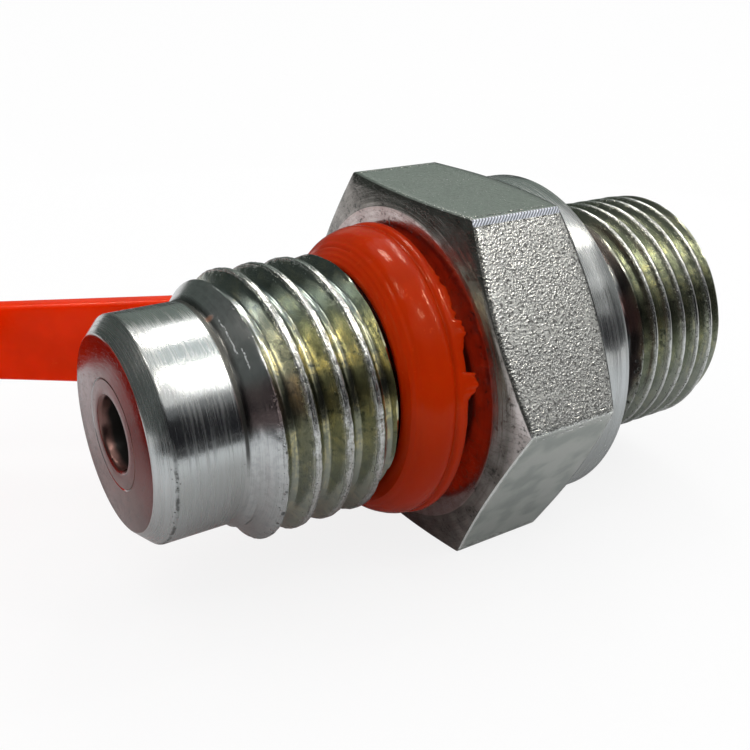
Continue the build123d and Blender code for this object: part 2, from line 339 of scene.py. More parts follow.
def makeCard(name, azimuths, elevations, colour):
    # a curved card that only reflections show
    steps = studio["cardSteps"]
    spots = [toward(azimuths[0] + (azimuths[1] - azimuths[0]) * i / steps,
                    elevations[0] + (elevations[1] - elevations[0]) * j / steps,
                    studio["cardDistance"])
             for j in range(steps + 1) for i in range(steps + 1)]
    row = steps + 1
    faces = [(j * row + i, j * row + i + 1, (j + 1) * row + i + 1, (j + 1) * row + i)
             for j in range(steps) for i in range(steps)]
    finish, wire = newFinish(name + "Paper")
    spot = wire.add("TexCoord", out="Object")
    shade = mixColour(grain(spot, 6.0, 2.0), dimmed(colour, 1.0), dimmed(colour, 0.8))
    wire.add("OutputMaterial", {}, {"Surface": wire.add("Emission", {}, {
        "Color": shade, "Strength": 1.0})})
    card = meshObject(name, spots, faces, [finish])
    onlyMirrored(card)


def makeLamp(name, azimuth, elevation, width, height, radiance):
    lamp = bpy.data.lights.new(name, "AREA")
    lamp.shape = "RECTANGLE"
    lamp.size, lamp.size_y = width, height
    lamp.energy = radiance * math.pi * width * height
    holder = bpy.data.objects.new(name, lamp)
    bpy.context.scene.collection.objects.link(holder)
    holder.location = toward(azimuth, elevation, studio["lampDistance"])
    holder.rotation_euler = (Vector(studio["middle"]) - holder.location).to_track_quat(
        "-Z", "Y").to_euler()


makeFloor()
makeMats()
makeRoom()
for cardName, card in studio["cards"].items():
    makeCard(cardName, *card)
for lampName, lamp in studio["lamps"].items():
    makeLamp(lampName, *lamp)
print("studio set:", len(studio["cards"]), "cards,", len(studio["lamps"]), "lamps")

# ---- steel finishes

zinc = {
    "colour": (0.47, 0.485, 0.48, 1),
    "streakColour": (0.44, 0.45, 0.44, 1),
    "streakDeep": (0.24, 0.25, 0.25, 1),
    # bare metal before each thread: a painted shaded tone, and a painted lit tone on top
    "portBareShadeAndLight": ((0.50, 0.51, 0.505, 1), (0.54, 0.55, 0.545, 1)),
    "studBareShadeAndLight": ((0.09, 0.095, 0.095, 1), (0.60, 0.60, 0.55, 1)),
    "combColour": (0.66, 0.69, 0.76, 1),
    "combDark": (0.16, 0.17, 0.20, 1),
    # dark pits, also used for the painted shade where the nose meets the port thread
    "pitAndShadeColour": (0.05, 0.05, 0.045, 1),
    # the tones in a thread: plain, pale and dark passivation, a painted golden glint, and a
    # painted reflection on top
    "olive": ((0.31, 0.31, 0.205, 1), (0.41, 0.40, 0.28, 1), (0.10, 0.11, 0.085, 1),
              (0.66, 0.57, 0.27, 1), (0.17, 0.21, 0.215, 1)),
    "greenGrey": ((0.29, 0.305, 0.235, 1), (0.40, 0.42, 0.35, 1), (0.10, 0.11, 0.085, 1),
                  (0.55, 0.52, 0.30, 1), (0.30, 0.32, 0.25, 1)),
    # a painted reflection of the floor on a thread's lower side
    "paintedUnderColour": (0.42, 0.45, 0.40, 1),
    "crestColour": (0.62, 0.62, 0.60, 1),
    "facetColour": (0.74, 0.74, 0.70, 1),
    "speckColour": (0.07, 0.07, 0.068, 1),
    # a painted shaded tone for the hexagon's lower flats
    "lowFacetShade": (0.44, 0.47, 0.435, 1),
    # pale burrs and scratches, also the painted sparkles on the hexagon's top flat
    "burrAndGlintColour": (0.74, 0.75, 0.75, 1),
    "faceColour": (0.165, 0.092, 0.080, 1),
    "faceDull": (0.125, 0.076, 0.067, 1),
    # painted light: a reddish painted reflection on the end faces, and painted light on one side
    # of the hexagon's front cone
    "facePaintedReflection": ((0.15, 0.055, 0.05, 1), 153.0, 72.0, 0.0),
    "conePaintedLight": ((0.58, 0.53, 0.51, 1), 180.0, 38.0, 11.5),
    "rimColour": (0.56, 0.475, 0.45, 1),
    "rimDull": (0.36, 0.28, 0.265, 1),
    "coneColour": (0.33, 0.305, 0.285, 1),
    "coneDull": (0.165, 0.150, 0.135, 1),
    # painted shade deep in the bore
    "boreShade": (0.012, 0.011, 0.010, 1),
    # a painted reddish reflection at mid height on the bare metal
    "warmReflection": (0.52, 0.33, 0.31, 1),
    "rustColour": (0.30, 0.13, 0.07, 1),
    "rustSpot": (-1.9, 6.5, 5.05),
    # scratches on the thread's shoulder: how far along, and the heights they lie between
    "scratches": ((5.40, 0.76, 0.93), (5.66, 0.66, 0.76)),
}


def turnedLines(along, radius, around, pitch, wander=0.8):
    lines = vectorOf((along + 1.37 * radius) * (1 / pitch), around[0] * wander,
                     around[1] * wander)
    return grain(lines, 1.0, 3.0, 0.6)


def pitsIn(spot, size, share):
    cells = spot.add("TexVoronoi", {}, {"Vector": spot, "Scale": 1 / size, "Randomness": 1.0})
    pick = grain(spot, 0.9 / size, 1.0)
    return both(1 - step(cells, 0.12, 0.3), step(pick, 1 - share, 1 - share + 0.06))


def turnedZinc(name, lineDepth=0.0012, pitAt=()):
    finish, wire = newFinish(name)
    spot, along, radius, around = placeOf(wire)
    fine = turnedLines(along, radius, around, 0.10, 1.5)
    wide = turnedLines(along, radius, around, 0.35, 1.6)
    chatter = turnedLines(along, radius, around, 0.10, 22.0)
    patch = grain(spot, 0.45, 3.0)
    lines = step(fine, 0.46, 0.62)
    under = step(around[1], 0.35, 0.05)
    pits = pitsIn(spot, 0.22, 0.30) * 0.6
    for place, width in pitAt:
        worn = 0.25 + 0.75 * step(grain(spot, 2.0, 3.0, 0.6), 0.40, 0.60)
        line = near(along + (grain(spot, 1.4, 4.0, 0.7) - 0.5) * 0.22, place, 0.45 * width)
        pits = either(pits, both(near(along, place, width), pitsIn(spot, 0.24, 0.7)))
        pits = either(pits, both(line, worn) * 0.8)
    pits = both(pits, 0.2 + 0.8 * under)
    colour = mixColour(step(wide, 0.35, 0.7), zinc["colour"], zinc["streakColour"])
    colour = mixColour(both(lines, 0.32 - 0.2 * under), colour, zinc["streakDeep"])
    colour = mixColour(pits, colour, zinc["pitAndShadeColour"])
    closeFinish(wire, {
        "Base Color": colour, "Metallic": 1.0,
        "Roughness": 0.16 + 0.06 * patch + 0.12 * lines + 0.2 * pits,
        "Anisotropic": 0.4, "Anisotropic Rotation": 0.25,
    }, fine + wide * 0.8 + chatter * (1.6 + 3.0 * step(patch, 0.42, 0.60)) - pits * 4.0,
        lineDepth * mm)
    return finish


def threadZinc(name, rootRadius, crestRadius, plainUpTo, bareShadeAndLight, tones, tearing=1.0):
    # tinted passivation in the grooves, bright torn crests, bare metal before the thread, and
    # painted glints, reflections and shade
    finish, wire = newFinish(name)
    spot, along, radius, around = placeOf(wire)
    height = (radius - rootRadius) / (crestRadius - rootRadius)
    patch = grain(spot, 0.8, 4.0, 0.6)
    mottle = grain(spot, 2.4, 4.0, 0.65)
    fine = turnedLines(along, radius, around, 0.09, 1.5)
    inside = step(along + (patch - 0.5) * 0.5, plainUpTo - 0.15, plainUpTo + 0.25)
    crest = step(height + (mottle - 0.5) * 0.5 + (fine - 0.5) * 0.5, 0.80, 0.96)
    deep = 1 - step(height + (patch - 0.5) * 0.3, 0.0, 0.25)
    plain, pale, dark, paintedGlint, top = tones
    valley = mixColour(step(patch, 0.35, 0.7), plain, pale)
    valley = mixColour(deep * 0.6, valley, dark)
    valley = mixColour(step(mottle, 0.47, 0.34) * 0.8, valley, dark)
    # painted golden glints in patches of the grooves
    paintedGlintSpots = both(step(patch, 0.47, 0.60), step(mottle * 0.5 + fine * 0.5, 0.44, 0.58))
    valley = mixColour(paintedGlintSpots * 0.75, valley, paintedGlint)
    # a painted reflection of the floor on the lower side
    valley = mixColour(step(around[1], 0.15, -0.35) * 0.65, valley, zinc["paintedUnderColour"])
    # a painted reflection on the thread's top
    valley = mixColour(step(around[1] + (patch - 0.5) * 0.3, 0.74, 0.92) * 0.7, valley, top)
    colour = mixColour(crest, valley, zinc["crestColour"])
    under = step(around[1], 0.35, 0.05)
    chipsAndShade = both(pitsIn(spot, 0.22, 0.5), step(height, 0.55, 0.8))
    early = both(near(along, plainUpTo - 0.1, 0.8), pitsIn(spot, 0.5, 0.85))
    chipsAndShade = either(chipsAndShade, both(early, step(height, 0.2, 0.5) * under))
    # painted shade: a dark line in the corner where the nose meets the thread's entry, on the
    # upper side
    chipsAndShade = either(chipsAndShade, both(near(along, plainUpTo - 2.06, 0.17), step(around[1], -0.2, 0.1)))
    torn = grain(spot, 7.0, 3.0, 0.7)
    split = both(crest, step(fine * 0.6 + torn * 0.4, 0.49, 0.58))
    colour = mixColour(split * 0.75, colour, dark)
    # painted shade and light: the first tone all round, the second on top
    smooth = mixColour(step(around[1], 0.6, 0.9), *bareShadeAndLight)
    streaks = step(fine * 0.5 + mottle * 0.5, 0.46, 0.60)
    smooth = mixColour(streaks * 0.35, smooth, zinc["streakDeep"])
    # a reddish band at mid height: a painted reflection
    warmReflectionBand = both(step(around[1], 0.62, 0.48), step(around[1], 0.20, 0.32))
    smooth = mixColour(warmReflectionBand * 0.6, smooth, zinc["warmReflection"])
    bright = 0.0
    for place, low, high in zinc["scratches"]:
        reach = both(step(around[1], low - 0.02, low), step(around[1], high + 0.02, high))
        bright += both(near(along + (mottle - 0.5) * 0.2, place, 0.045), reach)
    bright = both(both(bright, step(around[0], 0.0, -0.1)), step(torn, 0.42, 0.54))
    smooth = mixColour(bright, smooth, zinc["burrAndGlintColour"])
    colour = mixColour(inside, smooth, colour)
    # painted shade over the corner where the nose meets the thread's entry, on the upper side
    cornerShade = both(near(along, plainUpTo - 1.97, 0.42), step(around[1], 0.12, 0.30))
    colour = mixColour(cornerShade * 0.9, colour, zinc["pitAndShadeColour"])
    away = spot.add("VectorMath", {"operation": "DISTANCE"}, {0: spot, 1: zinc["rustSpot"]},
                    out="Value")
    rust = both(step(away, 0.38, 0.10), step(mottle, 0.42, 0.50))
    colour = mixColour(rust, colour, zinc["rustColour"])
    colour = mixColour(chipsAndShade * 0.85, colour, zinc["pitAndShadeColour"])
    closeFinish(wire, {
        "Base Color": colour, "Metallic": 1.0 - 0.6 * bright - 0.8 * rust,
        "Roughness": 0.12 + 0.08 * patch + 0.12 * fine + 0.2 * chipsAndShade,
    }, fine * (0.5 + crest * 3.0) + mottle * 1.8 * inside
        + torn * (0.5 + crest * 3.4 * tearing) - chipsAndShade * 2.0 - split, 0.005 * mm)
    return finish


def facetZinc(name):
    # the drawn hexagon's flats: a fine peened grain with dark specks, worn borders, painted
    # sparkles on top and painted shade below
    finish, wire = newFinish(name)
    spot, along, radius, around = placeOf(wire)
    peened = spot.add("TexVoronoi", {"feature": "SMOOTH_F1"}, {
        "Vector": spot, "Scale": 6.5, "Smoothness": 0.4, "Detail": 1.0})
    sand = grain(spot, 6.5, 2.0, 0.6)
    patch = grain(spot, 0.5, 2.0)
    wobble = grain(spot, 3.0, 3.0, 0.6)
    front, back = body["hexSpan"]
    edge = along - (front + (radius - body["hexFace"]) * body["frontSlope"]) + (wobble - 0.5) * 0.3
    rear = (back - (radius - body["collar"]) * body["rearSlope"]) - along
    corner = body["hexCorner"] - radius
    below = step(around[1], 0.05, -0.05)
    above = step(around[0], -0.499, -0.494)
    outline = either(1 - step(edge, 0.14, 0.36), 1 - step(rear, 0.05, 0.16))
    dots = both(1 - step(corner, 0.0, 0.035), step(wobble, 0.50, 0.56))
    # the comb of pale ticks that the drawing left along the upper corner
    upper = both(1 - above, step(around[1], 0.7, 0.72))
    comb = both(upper, step(corner + (wobble - 0.5) * 0.05, 0.17, 0.14))
    slant = (along - 2.0 * radius) * (2 * math.pi / 0.22)
    teeth = step(slant.maths("SINE", slant), -0.2, 0.4)
    dots = both(either(dots, near(corner, 0.18, 0.05) * step(wobble, 0.50, 0.56)), 1 - comb)
    outline = both(either(outline, dots), 1 - 0.3 * above)
    marks = both(near(corner, 0.13, 0.11), step(grain(spot, 2.4, 3.0, 0.6), 0.56, 0.62))
    marks = both(marks, below)
    burr = both(outline, below) * 0.7
    specks = both(step(sand, 0.535, 0.60), (1 - comb) * (1 - either(below, above * 0.85)))
    colour = mixColour(specks * 0.85, zinc["facetColour"], zinc["speckColour"])
    colour = mixColour(outline * (1 - below) * 0.9, colour, zinc["pitAndShadeColour"])
    colour = mixColour(burr, colour, zinc["burrAndGlintColour"])
    colour = mixColour(marks * 0.85, colour, zinc["pitAndShadeColour"])
    colour = mixColour(comb, colour, mixColour(teeth, zinc["combDark"], zinc["combColour"]))
    # painted sparkles of light on the top flat
    paintedSparkles = both(above, step(grain(spot, 8.0, 1.0), 0.70, 0.74))
    colour = mixColour(paintedSparkles, colour, zinc["burrAndGlintColour"])
    flat = either(below * 0.8, above * 0.4)
    # painted shade: the lower flats take a darker tone
    colour = mixColour(both(below, 0.4 + 0.6 * step(patch, 0.4, 0.65)), colour,
                       mixColour(burr, zinc["lowFacetShade"], colour))
    closeFinish(wire, {
        "Base Color": colour, "Metallic": 1 - 0.8 * either(either(burr, comb), paintedSparkles),
        "Roughness": (0.14 + 0.10 * (1 - either(below, above)) + 0.06 * patch
                      + 0.15 * specks + 0.2 * comb),
    }, (peened * 0.5 + sand) * (1 - flat) - outline * 0.8, 0.036 * mm)
    return finish


def faceZinc(name, colour, dull, arcDepth=1.0, dome=0.0, paintedWash=None):
    # turned end faces: arcs of the tool, dark specks and a few scratches; the last argument
    # paints light onto one side: a colour, the angle it lies at, how wide it is and the radius it
    # starts from
    finish, wire = newFinish(name)
    spot, along, radius, around = placeOf(wire)
    fine = turnedLines(along, radius, around, 0.09, 0.5)
    arcs = turnedLines(along, radius, around, 0.34, 1.4)
    patch = grain(spot, 0.8, 4.0, 0.6)
    scratch = grain(spot.add("VectorMath", {"operation": "MULTIPLY"},
                             {0: spot, 1: (0.7, 3.2, 1.0)}), 1.0, 2.0)
    marks = near(scratch, 0.5, 0.006)
    specks = both(step(grain(spot, 3.6, 3.0, 0.7), 0.575 - 0.02 * arcDepth, 0.64),
                  step(patch, 0.42, 0.6))
    shade = mixColour(step(patch, 0.3, 0.7), colour, dull)
    shade = mixColour(step(arcs, 0.42, 0.62) * 0.5, shade, dull)
    # painted light on one side of the face
    if paintedWash:
        tone, turn, width, start = paintedWash
        turn, width = math.radians(turn), math.cos(math.radians(width))
        toward = around[0] * math.cos(turn) + around[1] * math.sin(turn) + (patch - 0.5) * 0.6
        paintedWashShare = both(step(toward, width, 0.5 + 0.5 * width), step(radius, start - 0.4, start + 0.4))
        shade = mixColour(paintedWashShare * 0.85, shade, tone)
    shade = mixColour(either(specks, marks * 0.5) * 0.8, shade, zinc["pitAndShadeColour"])
    closeFinish(wire, {
        "Base Color": shade, "Metallic": 1.0,
        "Roughness": 0.11 + 0.10 * patch + 0.06 * fine,
    }, fine + arcs * (2.0 * arcDepth) + patch * 1.2 - specks * 3.0 - marks - radius * dome,
        0.002 * mm)
    return finish


def boreZinc(name):
    # the bore's wall: dulled by heat at the mouth, painted shade further in
    finish, wire = newFinish(name)
    spot, along, radius, around = placeOf(wire)
    fine = turnedLines(along, radius, around, 0.12, 0.6)
    patch = grain(spot, 0.9, 3.0)
    depth = step(along + (patch - 0.5) * 0.4, 0.30, 0.75)
    closeFinish(wire, {
        "Base Color": mixColour(depth, zinc["faceColour"], zinc["boreShade"]),
        "Metallic": 1 - depth, "Specular IOR Level": 0.08,
        "Roughness": 0.22 + 0.15 * patch,
    }, fine + patch, 0.003 * mm)
    return finish


# ---- mesh helpers

def pieceFrom(name, vertices, faces, finishes, faceFinish, sharpAngle=32.0):
    # points closer than `touching` are one point
    touching = 1e-7
    piece = meshObject(name, vertices, faces, finishes)
    data = piece.data
    data.polygons.foreach_set("material_index", faceFinish)
    tidy = bmesh.new()
    tidy.from_mesh(data)
    bmesh.ops.remove_doubles(tidy, verts=tidy.verts, dist=touching)
    bmesh.ops.dissolve_degenerate(tidy, edges=tidy.edges, dist=touching)
    tidy.to_mesh(data)
    tidy.free()
    data.shade_smooth()
    data.set_sharp_from_angle(angle=math.radians(sharpAngle))
    return piece


def turnedPiece(name, rows, columns, finishes, sharpAngle=32.0, shape=None):
    # rows of (along, radius, finish index), each a number or one value for every column
    turn = np.append(columns, columns[0] + 360.0)
    along = np.array([np.broadcast_to(row[0], turn.shape) for row in rows], float)
    radius = np.array([np.broadcast_to(row[1], turn.shape) for row in rows], float)
    angle = np.broadcast_to(np.radians(turn), along.shape)
    if shape:
        along, radius = shape(along, radius, angle)
    spots = np.stack([radius * np.cos(angle), radius * np.sin(angle), along], -1) * mm
    wide = len(turn)
    faces, faceFinish = [], []
    for j in range(len(rows) - 1):
        for i in range(wide - 1):
            low = j * wide + i
            faces.append((low, low + 1, low + 1 + wide, low + wide))
            faceFinish.append(rows[j][2])
    return pieceFrom(name, spots.reshape(-1, 3), faces, finishes, faceFinish, sharpAngle)


def columnsAround(breaks, coarse):
    # angles round the axis: even steps, closer at the places given as (angle, offsets)
    angles = set(round(k * coarse, 4) for k in range(round(360 / coarse)))
    for place, offsets in breaks:
        for offset in offsets:
            angles.add(round((place + offset) % 360, 4))
    return np.array(sorted(angles))


def helicalRows(columns, low, high, pitch, phase, profile, envelope, finishIndex):
    # the rows follow the thread; whatever leaves the span low..high is gathered on its ends
    turn = np.append(columns, columns[0] + 360.0)
    lead = pitch * turn / 360.0
    rows = []
    first = math.floor((low - pitch - phase) / pitch)
    last = math.ceil((high - phase) / pitch)
    for k in range(first, last + 1):
        for offset, height in profile:
            along = phase + k * pitch + offset + lead
            if along.max() < low or along.min() > high:
                continue
            clamped = np.clip(along, low, high)
            radius = np.minimum(height, np.interp(clamped, *envelope))
            outside = (along < low) | (along > high)
            radius = np.where(outside, np.interp(clamped, *envelope), radius)
            rows.append((clamped, radius, finishIndex))
    return rows


# turned pieces are built round their own Z axis: local X, Y, Z lie along +Y, +Z, +X
alongAxis = Matrix(((0, 0, 1, 0), (1, 0, 0, 0), (0, 1, 0, 0), (0, 0, 0, 1)))

# ---- coupling body

body = {
    "coarse": 1.5,
    "nose": (6.5, 0.95, 4.75),            # radius, chamfer, end of the plain part
    "portPitch": 2.0,
    "portCrest": 7.925,
    "portRoot": 6.825,
    "portPhase": 7.27,                    # crest at angle 0
    "portSpan": (4.7, 14.1),
    "studPitch": 1.337,
    "studCrest": 8.28,
    "studRoot": 7.44,
    "studPhase": 33.68 - 1.337 / 2,
    "studSpan": (31.2, 40.7),
    "hexFlat": 11.0,
    "hexCorner": 12.66,
    "hexCornerRound": 0.2,
    "hexSpan": (18.3, 26.2),
    "hexFace": 10.0,
    "frontSlope": math.tan(math.radians(15.0)),
    "rearSlope": math.tan(math.radians(23.2)),
    "collar": 10.95,
    "neck": 6.6,
    "sealRecess": (7.3, 9.35),
    "mouth": 3.19,
    "bushBore": 3.13,
    "pinBore": 2.15,
    "bore": 4.4,
    "clipGroove": 4.9,
    "end": 40.7,
    # how far out a thread may reach: places along the axis, and the radius there
    "portLimit": (
        [4.7, 4.92, 5.02, 5.12, 5.3, 5.6, 6.2, 6.42, 6.6, 13.3, 13.45, 14.05, 14.1],
        [6.5, 6.5, 6.53, 6.60, 6.77, 7.06, 7.66, 7.86, 7.96, 7.96, 7.86, 6.62, 6.6]),
    "studLimit": ([31.2, 31.85, 31.95, 32.4, 32.55, 39.75, 39.85, 40.66, 40.7],
                  [7.3, 7.3, 7.39, 8.06, 8.3, 8.3, 8.2, 7.40, 7.34]),
    # ragged crests: first and last place, radius they start from, their height, the wander
    "torn": ((5.3, 13.5, 7.25, 0.65, 0.045), (31.7, 39.9, 7.9, 0.36, 0.018)),
}

bodyColumns = columnsAround([(60 * k, (-0.45, -0.22, 0.22, 0.45, 0.8, -0.8)) for k in range(6)],
                            body["coarse"])


def hexRadius(degrees):
    # radius of the hexagon at each angle, its corners rounded
    off = np.abs((degrees + 30.0) % 60.0 - 30.0)
    flat = body["hexFlat"] / np.cos(np.radians(30.0 - off))
    bend = body["hexCornerRound"]
    centre = (body["hexFlat"] - bend) / math.cos(math.radians(30.0))
    reach = bend ** 2 - (centre * np.sin(np.radians(off))) ** 2
    rounded = centre * np.cos(np.radians(off)) + np.sqrt(np.maximum(reach, 0))
    return np.where(np.radians(off) < np.arcsin(0.5 * bend / centre), rounded, flat)


def portProfile():
    # half a pitch: between straight flanks and a wave, with a low lip on the crest
    crest, root = body["portCrest"], body["portRoot"]
    half = []
    for u in (0.0, 0.05, 0.10, 0.15, 0.21, 0.28, 0.37, 0.47, 0.57, 0.66, 0.75, 0.84, 0.93, 1.0):
        wave = 0.5 + 0.5 * math.cos(math.pi * min(max((u - 0.06) / 0.88, 0), 1))
        straight = min(max((0.70 - u) / 0.55, 0), 1)
        half.append((u, root + (crest - root) * (0.5 * wave + 0.5 * straight)))
    return half + [(2.0 - u, r) for u, r in reversed(half[1:-1])]


def studProfile():
    crest, root, pitch = body["studCrest"], body["studRoot"], body["studPitch"]
    half = [(0.0, crest), (0.06, crest - 0.012), (0.11, crest - 0.045), (0.155, crest - 0.10),
            (0.26, crest - 0.30), (0.38, crest - 0.53), (0.48, root + 0.13),
            (0.54, root + 0.055), (0.60, root + 0.012)]
    return half + [(pitch / 2, root)] + [(pitch - u, r) for u, r in reversed(half[1:])]


def bodyRows():
    turned, portThread, studThread, facet, face, hexRim, hexCone, noseFace = range(8)
    noseR, chamfer, noseEnd = body["nose"]
    angles = np.append(bodyColumns, bodyColumns[0] + 360.0)
    rim = hexRadius(angles)
    hexFront, hexRear = body["hexSpan"]
    hexFace, frontSlope, rearSlope = body["hexFace"], body["frontSlope"], body["rearSlope"]
    front = hexFront + (rim - hexFace) * frontSlope
    rear = hexRear - (rim - body["collar"]) * rearSlope
    rows = [(0.0, body["mouth"], noseFace), (0.0, 3.3, noseFace), (0.0, 4.4, noseFace),
            (0.0, 5.44, noseFace),
            (0.012, 5.53, turned), (0.06, 5.61, turned), (0.5, 6.05, turned),
            (chamfer - 0.07, noseR - 0.07, turned), (chamfer - 0.01, noseR - 0.02, turned),
            (chamfer + 0.07, noseR, turned), (2.2, noseR, turned), (3.6, noseR, turned),
            (noseEnd - 0.1, noseR, portThread)]
    rows += helicalRows(bodyColumns, *body["portSpan"], body["portPitch"], body["portPhase"],
                        portProfile(), body["portLimit"], portThread)
    neck = body["neck"]
    rows += [(14.3, neck, turned), (16.5, neck, turned), (18.15, neck, turned),
             (18.25, neck + 0.02, turned), (hexFront, neck + 0.08, hexRim),
             (hexFront, 6.9, hexRim), (hexFront, 8.4, hexRim), (hexFront, 9.9, hexRim),
             (hexFront + 0.02, 10.06, hexCone)]
    for share in (0.35, 0.7):
        radius = hexFace + 0.1 + (rim - 0.1 - hexFace - 0.1) * share
        rows.append((hexFront + (radius - hexFace) * frontSlope, radius, hexCone))
    rows += [(front - 0.1 * frontSlope, rim - 0.1, hexCone),
             (front + 0.02, rim - 0.025, facet), (front + 0.09, rim, facet)]
    for share in np.linspace(0.1, 0.9, 9):
        rows.append((front + (rear - front) * share, rim, facet))
    rows += [(rear - 0.09, rim, facet), (rear - 0.02, rim - 0.02, turned)]
    collar = body["collar"]
    for share in (0.97, 0.5, 0.03):
        radius = collar + (rim - collar) * share
        rows.append((hexRear - (radius - collar) * rearSlope, radius, turned))
    inner, outer = body["sealRecess"]
    rows += [(26.25, collar, turned), (27.2, collar, turned), (28.23, collar, turned),
             (28.32, collar - 0.03, turned), (28.56, collar - 0.27, turned),
             (28.6, collar - 0.36, face), (28.6, 9.45, face), (28.56, 9.37, turned),
             (28.4, outer, turned), (27.1, outer, turned), (27.1, inner, turned),
             (28.2, inner, turned), (31.1, inner, studThread)]
    rows += helicalRows(bodyColumns, *body["studSpan"], body["studPitch"], body["studPhase"],
                        studProfile(), body["studLimit"], studThread)
    end, bore, groove = body["end"], body["bore"], body["clipGroove"]
    pinBore, bushBore = body["pinBore"], body["bushBore"]
    rows += [(end, 7.2, face), (end, 5.8, face), (end, 4.62, turned), (40.63, 4.47, turned),
             (40.5, bore, turned), (36.75, bore, turned), (36.75, groove, turned),
             (35.9, groove, turned), (35.9, bore, turned), (25.0, bore, turned),
             (15.65, bore, turned), (13.4, pinBore, turned), (8.4, pinBore, turned),
             (8.4, bushBore, turned), (3.0, bushBore, turned), (0.06, bushBore, turned),
             (0.0, body["mouth"], turned)]
    return rows


def tornCrests(along, radius, angle):
    # the rolled crests are ragged: their height wanders a little
    spots = np.stack([along, radius * np.cos(angle), radius * np.sin(angle)], -1)
    changed, moved = radius.copy(), along.copy()
    for first, last, base, rise, size in body["torn"]:
        inside = (along > first) & (along < last)
        high = np.where(inside, np.clip((radius - base) / rise, 0.0, 1.0), 0.0)
        for j, i in np.argwhere(high > 0.0):
            spot = Vector(spots[j, i])
            rough = noise.noise(spot * 1.9) * 0.6 + noise.noise(spot * 4.7) * 0.4
            changed[j, i] += high[j, i] * (size * rough - 0.4 * size)
            moved[j, i] += high[j, i] * size * 0.9 * noise.noise(spot * 2.6 + Vector((9, 3, 5)))
    return moved, changed


couplingBody = turnedPiece("couplingBody", bodyRows(), bodyColumns, [
    turnedZinc("turnedZinc", pitAt=((0.93, 0.26),)),
    threadZinc("portThreadZinc", body["portRoot"], body["portCrest"], plainUpTo=6.9,
               bareShadeAndLight=zinc["portBareShadeAndLight"], tones=zinc["olive"]),
    threadZinc("studThreadZinc", body["studRoot"], body["studCrest"], plainUpTo=32.3,
               bareShadeAndLight=zinc["studBareShadeAndLight"], tones=zinc["greenGrey"], tearing=0.3),
    facetZinc("facetZinc"),
    faceZinc("faceZinc", zinc["faceColour"], zinc["faceDull"]),
    faceZinc("hexRimZinc", zinc["rimColour"], zinc["rimDull"]),
    faceZinc("hexConeZinc", zinc["coneColour"], zinc["coneDull"], arcDepth=2.8,
             paintedWash=zinc["conePaintedLight"]),
    faceZinc("noseFaceZinc", zinc["faceColour"], zinc["faceDull"], dome=45.0,
             paintedWash=zinc["facePaintedReflection"]),
], shape=tornCrests)
couplingBody.matrix_world = alongAxis
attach(couplingBody, "coupling")
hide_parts("coupling_body")
print("coupling body:", len(couplingBody.data.polygons), "faces")

# ---- guide bush

bush = {"bore": 2.09, "outer": 3.12, "length": 6.0, "mouth": 0.16}
bushColumns = columnsAround([], 3.0)
bushRows = [(bush["length"], bush["outer"], 0), (0.05, bush["outer"], 0),
            (0.0, bush["outer"] - 0.05, 1), (0.0, 2.7, 1), (0.0, bush["bore"] + 0.2, 1),
            (0.02, bush["bore"] + bush["mouth"], 0), (0.12, bush["bore"] + 0.05, 0),
            (0.2, bush["bore"], 0), (3.0, bush["bore"], 0),
            (bush["length"], bush["bore"], 0), (bush["length"], bush["outer"], 0)]
guideBush = turnedPiece("guideBush", bushRows, bushColumns, [
    boreZinc("boreZinc"),
    faceZinc("bushFaceZinc", zinc["faceColour"], zinc["faceDull"], dome=30.0,
             paintedWash=zinc["facePaintedReflection"])])
guideBush.matrix_world = alongAxis
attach(guideBush, "coupling")
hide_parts("guide_bush")
print("guide bush made")

# ---- tether: ring, strap and dust cap

plastic = {
    "colour": (0.82, 0.031, 0.0005, 1),
    # the same plastic, darker on the ring as painted shade
    "ringShadedColour": (0.47, 0.025, 0.001, 1),
    "paintedGlowColour": (0.20, 0.011, 0.002, 1),     # painted glow on the ring's side toward the hexagon
    "scuffColour": (0.80, 0.10, 0.02, 1),
    "roughness": 0.09,
    "sharpAngle": 40.0,
}


def orangePlastic(name, base, lines=0.0, under=1.0, paintedGlowFrom=99.0):
    # `under` darkens the lower side as painted shade, `lines` raises the marks of the mould's
    # turning, and the last argument sets where a painted glow begins, measured along its axis
    finish, wire = newFinish(name)
    spot, along, radius, around = placeOf(wire)
    cloud = grain(spot, 0.35, 3.0)
    fine = turnedLines(along, radius, around, 0.3, 1.2)
    bumps = grain(spot, 1.6, 3.0, 0.55)
    scuff = step(grain(spot, 2.3, 4.0, 0.7), 0.62, 0.74)
    # painted glow: emission on the side face toward the hexagon
    paintedGlow = both(step(along, paintedGlowFrom - 0.02, paintedGlowFrom), step(radius, 9.05, 8.7))
    colour = mixColour(step(cloud, 0.35, 0.7), base, dimmed(base, 0.88))
    colour = mixColour(scuff * 0.25, colour, plastic["scuffColour"])
    # painted shade: darker towards the bottom
    colour = mixColour(step(around[1], 0.45, -0.35), colour, dimmed(base, under))
    closeFinish(wire, {
        "Base Color": colour,
        "Roughness": plastic["roughness"] + 0.08 * cloud + 0.12 * scuff,
        "Specular IOR Level": 0.16, "Specular Tint": (1.0, 0.66, 0.42, 1),
        "Subsurface Weight": 0.5, "Subsurface Scale": 1.2 * mm,
        "Subsurface Radius": (1.0, 0.12, 0.03),
        "Emission Color": mixColour(paintedGlow, (0, 0, 0, 1), plastic["paintedGlowColour"]),
        "Emission Strength": 1.0,
    }, bumps * 1.3 + fine * lines, 0.02 * mm)
    return finish


